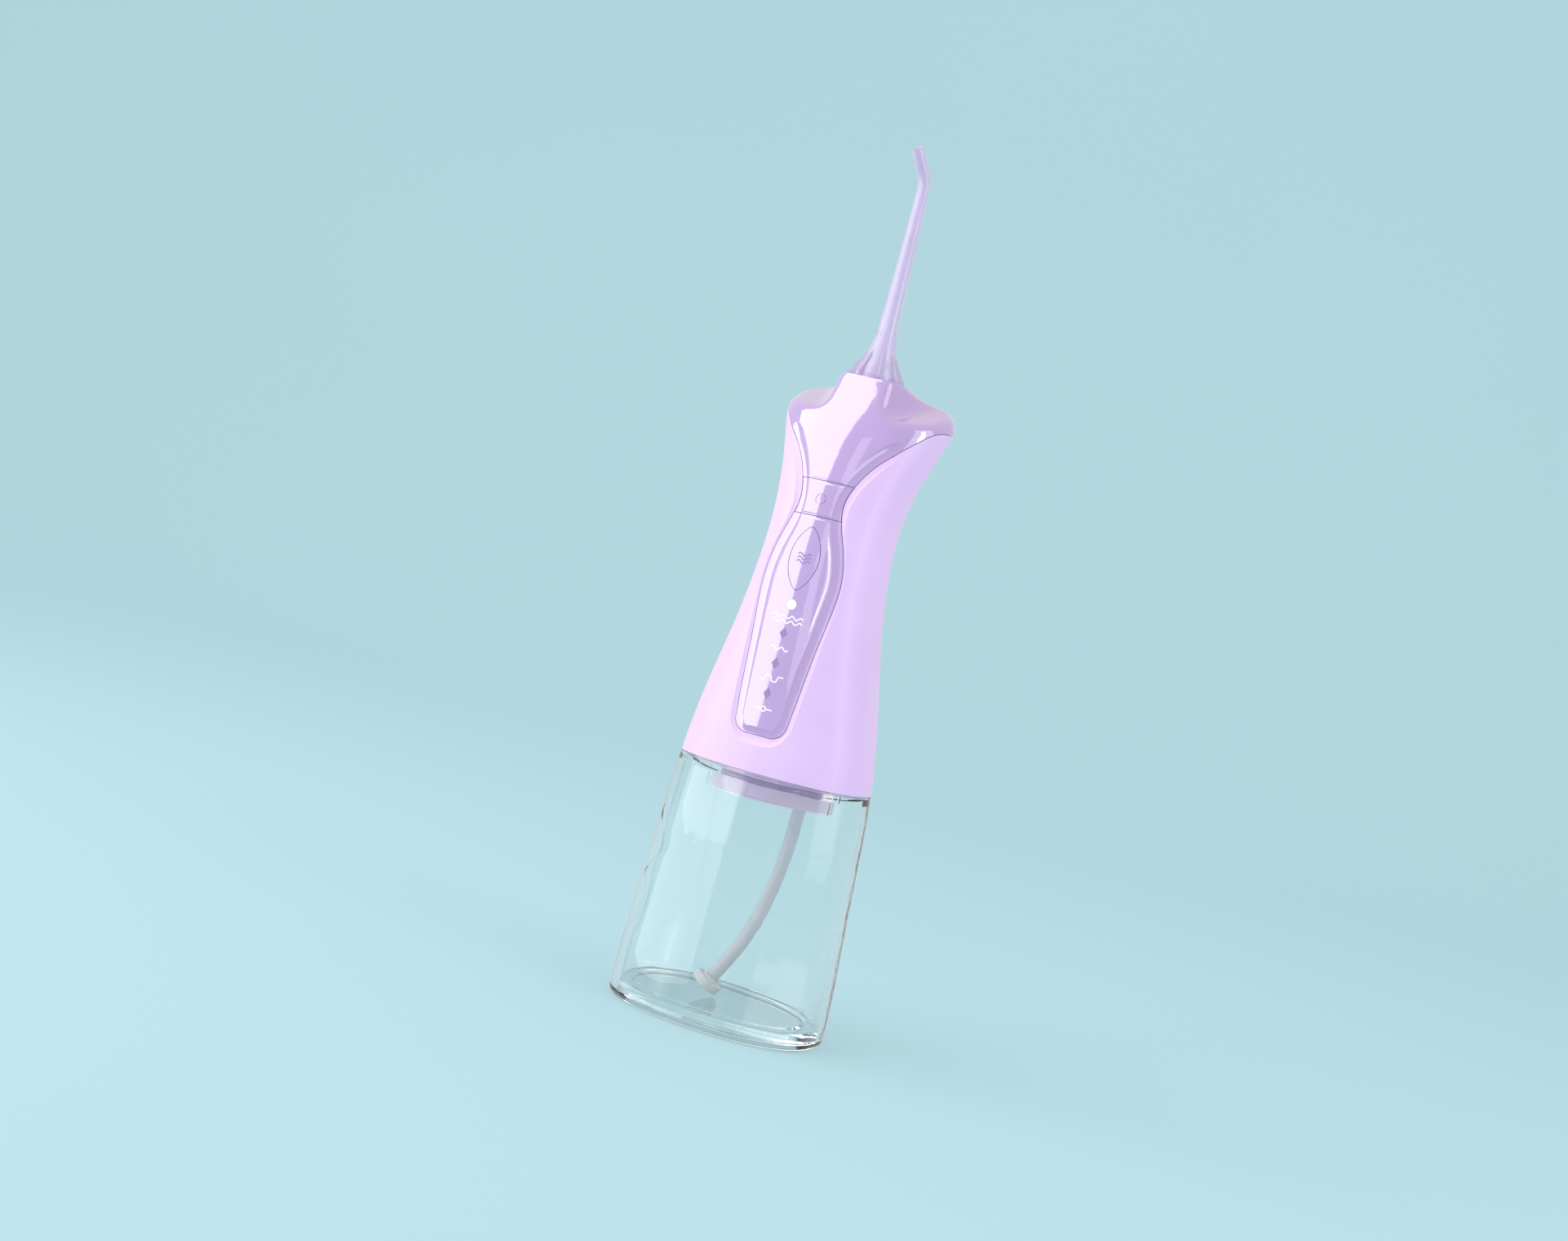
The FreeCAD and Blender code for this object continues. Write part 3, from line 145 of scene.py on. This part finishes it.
def moulded(name, color, rough_low, rough_high, grain=COARSE_GRAIN, grain_depth=GRAIN_DEPTH,
            coat=0.0, scatter=0.0):
    """Moulded plastic: faint colour drift, uneven gloss and a fine grain."""
    material, tree, shader = new_material(name)
    drift = noise(tree, DRIFT_SCALE, 2.0)
    tint = ramp(tree, drift.outputs["Fac"], 0.35, 0.65, shade(color, 0.97), shade(color, 1.02))
    tree.links.new(tint, shader.inputs["Base Color"])
    wear = noise(tree, WEAR_SCALE, 4.0, 0.6)
    gloss = ramp(tree, wear.outputs["Fac"], 0.3, 0.7, (rough_low,) * 3, (rough_high,) * 3)
    tree.links.new(gloss, shader.inputs["Roughness"])
    fine = noise(tree, grain, 2.0)
    bump(tree, shader, fine.outputs["Fac"], grain_depth)
    shader.inputs["Coat Weight"].default_value = coat
    shader.inputs["Coat Roughness"].default_value = COAT_ROUGHNESS
    if scatter:
        shader.inputs["Subsurface Weight"].default_value = scatter
        shader.inputs["Subsurface Radius"].default_value = SCATTER_RADIUS
        shader.inputs["Subsurface Scale"].default_value = 1.0
    return material


def clear_plastic(name, tint, painted_edge_shade, rough=0.01):
    """Clear moulded plastic with painted shade: its base colour darkens to teal-grey where one
    looks along the wall.
    """
    material, tree, shader = new_material(name)
    drift = noise(tree, CLEAR_DRIFT_SCALE, 2.0)
    wash = ramp(tree, drift.outputs["Fac"], 0.3, 0.7, shade(tint, 0.985), tint)
    # Painted shade: where the wall is seen edge-on, the base colour turns to a dark teal-grey,
    # standing in for internal reflections.
    layer = tree.nodes.new("ShaderNodeLayerWeight")
    layer.inputs["Blend"].default_value = 0.5
    edge = ramp(tree, layer.outputs["Facing"], 0.72, 0.97, (0, 0, 0), (1, 1, 1))
    mix = tree.nodes.new("ShaderNodeMix")
    mix.data_type = "RGBA"
    mix.inputs["B"].default_value = (*painted_edge_shade, 1)
    tree.links.new(edge, mix.inputs["Factor"])
    tree.links.new(wash, mix.inputs["A"])
    tree.links.new(mix.outputs["Result"], shader.inputs["Base Color"])
    film = noise(tree, FILM_SCALE, 3.0)
    gloss = ramp(tree, film.outputs["Fac"], 0.4, 0.7, (rough,) * 3, (rough + 0.02,) * 3)
    tree.links.new(gloss, shader.inputs["Roughness"])
    shader.inputs["Transmission Weight"].default_value = 1.0
    shader.inputs["IOR"].default_value = CLEAR_IOR
    return material


def tinted_plastic(name, tint, clear):
    """Glossy, slightly milky plastic that lets part of the light through."""
    material = moulded(name, tint, 0.07, 0.12, TINTED_GRAIN, FINE_GRAIN_DEPTH,
                       coat=0.5, scatter=0.25)
    shader = material.node_tree.nodes["Principled BSDF"]
    shader.inputs["Transmission Weight"].default_value = clear
    shader.inputs["IOR"].default_value = TINTED_IOR
    return material


LILAC = (0.77, 0.54, 0.89)
LILAC_GLOSS = (0.44, 0.28, 0.62)

materials = {
    # The clear tank's second colour is painted shade on the edges of its walls.
    "clear_tank": clear_plastic("clear_tank", (0.975, 0.985, 0.985), (0.30, 0.38, 0.40)),
    "satin_shell": moulded("satin_shell", LILAC, 0.34, 0.42, coat=0.15, scatter=0.1),
    "gloss_cover": moulded("gloss_cover", LILAC_GLOSS, 0.09, 0.12, FINE_GRAIN, FINE_GRAIN_DEPTH,
                           coat=1.0),
    "cap_plastic": moulded("cap_plastic", (0.86, 0.72, 0.97), 0.22, 0.3, scatter=0.3),
    "nozzle_plastic": tinted_plastic("nozzle_plastic", (0.84, 0.72, 0.97), 0.55),
    "lamp_lit": moulded("lamp_lit", (0.95, 0.93, 1.0), 0.2, 0.3),
    "lamp_dark": moulded("lamp_dark", (0.30, 0.22, 0.46), 0.15, 0.2),
    "soft_tube": moulded("soft_tube", (0.70, 0.74, 0.76), 0.25, 0.35, scatter=0.5),
    "weight_white": moulded("weight_white", (0.85, 0.88, 0.90), 0.35, 0.45, scatter=0.3),
    "seal_rubber": moulded("seal_rubber", (0.60, 0.48, 0.80), 0.5, 0.6),
    "hose_rubber": moulded("hose_rubber", (0.75, 0.77, 0.80), 0.35, 0.45),
    "black_rubber": moulded("black_rubber", (0.02, 0.02, 0.02), 0.5, 0.6),
    "inner_plastic": moulded("inner_plastic", (0.80, 0.80, 0.77), 0.35, 0.5),
    "acetal": moulded("acetal", (0.86, 0.85, 0.80), 0.3, 0.4),
    "board_green": moulded("board_green", (0.03, 0.20, 0.08), 0.25, 0.35),
    "switch_black": moulded("switch_black", (0.03, 0.03, 0.035), 0.3, 0.4),
    "cell_sleeve": moulded("cell_sleeve", (0.04, 0.16, 0.45), 0.25, 0.35),
    "steel": moulded("steel", (0.62, 0.63, 0.65), 0.22, 0.35),
    "brass_gear": moulded("brass_gear", (0.75, 0.55, 0.22), 0.2, 0.35),
}
gloss = materials["gloss_cover"].node_tree.nodes["Principled BSDF"]
gloss.inputs["Coat IOR"].default_value = COVER_COAT_IOR
gloss.inputs["Specular IOR Level"].default_value = COVER_SPECULAR
# Painted light: the cap plastic glows faintly lilac, though it is no lamp.
cap = materials["cap_plastic"].node_tree.nodes["Principled BSDF"]
cap.inputs["Emission Color"].default_value = CAP_PAINTED_LIGHT_COLOR
cap.inputs["Emission Strength"].default_value = CAP_PAINTED_LIGHT
for metal in ("steel", "brass_gear"):
    shader = materials[metal].node_tree.nodes["Principled BSDF"]
    shader.inputs["Metallic"].default_value = 1.0

for part in frame["record"]["subparts"]:
    mesh = nodes[part["node"]].data
    mesh.materials.clear()
    mesh.materials.append(materials[part["material_slot"]])


# ---------------------------------------------------------------- suction tube

SUCTION_ROUTE = [(10.0, 3.8, 78.3), (9.9, 3.8, 67.5), (9.3, 3.6, 57.0), (8.0, 3.1, 46.5),
                 (6.1, 2.3, 36.0), (3.0, 1.1, 26.0), (-1.1, -0.4, 17.2), (-3.6, -1.4, 12.4)]
TUBE_DIAMETER = 4.5 * MM


def make_suction_tube():
    """The soft tube as a smooth round hose along the route of the CAD tube that it replaces."""
    data = bpy.data.curves.new("suction_hose", "CURVE")
    data.dimensions = "3D"
    spline = data.splines.new("NURBS")
    spline.points.add(len(SUCTION_ROUTE) - 1)
    for point, place in zip(spline.points, SUCTION_ROUTE):
        point.co = (*(Vector(place) * MM), 1)
    spline.order_u = 3
    spline.use_endpoint_u = True
    spline.resolution_u = 16
    data.bevel_depth = TUBE_DIAMETER / 2
    data.bevel_resolution = 8
    data.use_fill_caps = True
    data.materials.append(materials["soft_tube"])
    tube = bpy.data.objects.new("suction_hose", data)
    scene.collection.objects.link(tube)
    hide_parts("suction_tube")
    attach(tube, "handle")


make_suction_tube()


# ---------------------------------------------------------------- printed signs

PRINT_LIFT = 0.03 * MM
PRINT_ROOT = 0.02 * MM
SIGN_STROKE = 0.42
MODE_STROKE = 0.45
# Heights of the signs in millimetres, from the tank's underside.
STEADY_HEIGHT, GENTLE_HEIGHT, PULSE_HEIGHT, OWN_HEIGHT = 134.6, 124.9, 114.9, 104.9
MODE_HEIGHT = 155.0


def front_of(node):
    """A function that gives the depth of a CAD node's front at a place in the front view."""
    mesh = nodes[node].data
    tree = BVHTree.FromPolygons([vertex.co for vertex in mesh.vertices],
                                [tuple(face.vertices) for face in mesh.polygons])

    def depth(across, height):
        hit = tree.ray_cast(Vector((across, -1.0, height)), Vector((0, 1, 0)))[0]
        return hit.y if hit else None
    return depth


def ribbon(mesh, path, width, depth):
    """Add a stroke to a bmesh: a thin closed band that lies on the surface."""
    rows = []
    for index, (across, height) in enumerate(path):
        before, after = path[max(index - 1, 0)], path[min(index + 1, len(path) - 1)]
        run = Vector((after[0] - before[0], after[1] - before[1])).normalized()
        side = Vector((-run.y, run.x)) * width / 2
        row = []
        for sign, lift in ((1, -PRINT_LIFT), (-1, -PRINT_LIFT), (-1, PRINT_ROOT), (1, PRINT_ROOT)):
            x, z = across + sign * side.x, height + sign * side.y
            row.append(mesh.verts.new((x, depth(x, z) + lift, z)))
        rows.append(row)
    for low, high in zip(rows, rows[1:]):
        for corner in range(4):
            following = (corner + 1) % 4
            mesh.faces.new((low[corner], low[following], high[following], high[corner]))
    mesh.faces.new(rows[0])
    mesh.faces.new(reversed(rows[-1]))


def wave(centre, width, swing, turns, steps=40):
    """Points of a sine wave, in metres from millimetres."""
    points = []
    for step in range(steps + 1):
        share = step / steps
        points.append(((centre[0] + (share - 0.5) * width) * MM,
                       (centre[1] + swing * math.sin(2 * math.pi * turns * share)) * MM))
    return points


def straight(start, end, steps=10):
    """Points of a straight run, in metres from millimetres."""
    return [((start[0] + (end[0] - start[0]) * step / steps) * MM,
             (start[1] + (end[1] - start[1]) * step / steps) * MM) for step in range(steps + 1)]


def corners(points, steps=4):
    """A polyline with each run divided evenly, so that it can follow a curved surface."""
    path = []
    for first, last in zip(points, points[1:]):
        path += straight(first, last, steps)[:-1]
    return path + [(points[-1][0] * MM, points[-1][1] * MM)]


def ring(centre, radius, steps=24):
    """Points of a full circle, in metres from millimetres."""
    return [((centre[0] + radius * math.cos(2 * math.pi * step / steps)) * MM,
             (centre[1] + radius * math.sin(2 * math.pi * step / steps)) * MM)
            for step in range(steps + 1)]


def printed(name, strokes, width, node, body, slot):
    """A sign of several strokes on the front of a CAD node."""
    depth = front_of(node)
    mesh = bmesh.new()
    for path in strokes:
        ribbon(mesh, path, width * MM, depth)
    bmesh.ops.recalc_face_normals(mesh, faces=mesh.faces)
    data = bpy.data.meshes.new(name)
    mesh.to_mesh(data)
    mesh.free()
    data.materials.append(materials[slot])
    sign = bpy.data.objects.new(name, data)
    scene.collection.objects.link(sign)
    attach(sign, body)


def panel_sign(name, strokes):
    """A light sign on the control panel."""
    printed(name, strokes, SIGN_STROKE, "control_panel", "handle", "lamp_lit")


def make_signs():
    """Plain signs for the four spray modes under their lamps, and one on the mode button."""
    panel_sign("steady_sign", [wave((0, STEADY_HEIGHT + up), width=10.5, swing=0.5, turns=3.5)
                               for up in (-0.8, 0.8)])
    panel_sign("gentle_sign", [wave((0, GENTLE_HEIGHT), width=6.0, swing=0.55, turns=2)])
    low, high = PULSE_HEIGHT - 0.8, PULSE_HEIGHT + 1.0
    beat = [(-4.0, low), (-2.4, low), (-1.9, high), (-0.3, high),
            (0.2, low), (1.8, low), (2.3, high), (4.0, high)]
    panel_sign("pulse_sign", [corners(beat)])
    knob, gap, reach = 0.8, 0.9, 3.0
    panel_sign("own_sign", [straight((-reach, OWN_HEIGHT), (-gap, OWN_HEIGHT)),
                            ring((0, OWN_HEIGHT), knob),
                            straight((gap, OWN_HEIGHT), (reach, OWN_HEIGHT))])
    waves = [wave((0, MODE_HEIGHT + up), width=4.6, swing=0.45, turns=1.5)
             for up in (-1.2, 0, 1.2)]
    printed("mode_sign", waves, MODE_STROKE, "mode_button", "mode_key", "lamp_dark")


make_signs()


# ---------------------------------------------------------------- stage and lights

STAGE_COLOR = (0.49, 0.725, 0.79)
STAGE_GLOW = 0.6
STAGE_HALF_WIDTH = 3.0
STAGE_FRONT, STAGE_BACK, STAGE_HEIGHT = -2.5, 2.2, 3.0
SWEEP_RADIUS, SWEEP_STEPS = 1.2, 24
WORLD_COLOR = (1.0, 0.97, 0.97, 1)
WORLD_STRENGTH = 0.8

# Light panels: name, first and last edge as (azimuth, distance), low and high end, radiance.
PANELS = [
    ("key", (-21, 0.70), (-82, 0.76), -0.1, 1.3, 2.0),
    ("front_patch", (-6, 0.95), (6, 0.95), 0.1, 0.9, 0.5),
    ("side_fill", (60, 0.9), (100, 0.9), 0.0, 1.2, 0.9),
    ("side_strip", (72, 0.8), (82, 0.8), 0.1, 0.9, 2.2),
]


def make_stage():
    """Floor that sweeps up into a backdrop, evenly pale and left out of glossy reflections."""
    sweep_start = STAGE_BACK - SWEEP_RADIUS
    profile = [(STAGE_FRONT, 0.0), (sweep_start, 0.0)]
    for step in range(1, SWEEP_STEPS + 1):
        turn = math.pi / 2 * step / SWEEP_STEPS
        profile.append((sweep_start + SWEEP_RADIUS * math.sin(turn),
                        SWEEP_RADIUS - SWEEP_RADIUS * math.cos(turn)))
    profile.append((STAGE_BACK, STAGE_HEIGHT))
    lean = Matrix.Rotation(VIEW_AZIMUTH, 3, "Z")
    vertices = []
    for side in (-STAGE_HALF_WIDTH, STAGE_HALF_WIDTH):
        vertices += [lean @ Vector((side, y, z)) for y, z in profile]
    count = len(profile)
    faces = [(i, i + 1, count + i + 1, count + i) for i in range(count - 1)]
    mesh = bpy.data.meshes.new("stage")
    mesh.from_pydata(vertices, [], faces)
    for face in mesh.polygons:
        face.use_smooth = True
    material, tree, shader = new_material("stage_paper")
    wash = noise(tree, 1.5, 2.0)
    paper = shade(STAGE_COLOR, 1 - STAGE_GLOW)
    color = ramp(tree, wash.outputs["Fac"], 0.3, 0.7, shade(paper, 0.98), paper)
    tree.links.new(color, shader.inputs["Base Color"])
    shader.inputs["Roughness"].default_value = 1.0
    shader.inputs["Specular IOR Level"].default_value = 0.0
    shader.inputs["Emission Color"].default_value = (*STAGE_COLOR, 1)
    shader.inputs["Emission Strength"].default_value = STAGE_GLOW
    mesh.materials.append(material)
    stage = bpy.data.objects.new("stage", mesh)
    scene.collection.objects.link(stage)
    stage.visible_glossy = False


def seen_from_above(azimuth, distance):
    """The place on the floor in this direction from the object's axis."""
    turn = math.radians(azimuth)
    return Vector((math.sin(turn) * distance, -math.cos(turn) * distance, 0))


def softbox(name, first, last, low, high, radiance):
    """An upright light panel that faces the object's axis."""
    ends = [seen_from_above(*first), seen_from_above(*last)]
    middle = (ends[0] + ends[1]) / 2 + Vector((0, 0, (low + high) / 2))
    across = ends[1] - ends[0]
    width, height = across.length, high - low
    facing = Vector((across.y, -across.x, 0)).normalized()
    if facing.dot(middle) < 0:
        facing = -facing
    data = bpy.data.lights.new(name, "AREA")
    data.shape = "RECTANGLE"
    data.size, data.size_y = width, height
    data.energy = radiance * math.pi * width * height
    lamp = bpy.data.objects.new(name, data)
    turn = Matrix((facing.cross(Vector((0, 0, 1))) * -1, Vector((0, 0, 1)), facing)).transposed()
    lamp.matrix_world = Matrix.Translation(middle) @ turn.to_4x4()
    scene.collection.objects.link(lamp)


def make_lights():
    """The light panels and an even pale surround."""
    for panel in PANELS:
        softbox(*panel)
    world = bpy.data.worlds.new("studio")
    scene.world = world
    world.use_nodes = True
    background = world.node_tree.nodes["Background"]
    background.inputs["Color"].default_value = WORLD_COLOR
    background.inputs["Strength"].default_value = WORLD_STRENGTH


make_stage()
make_lights()
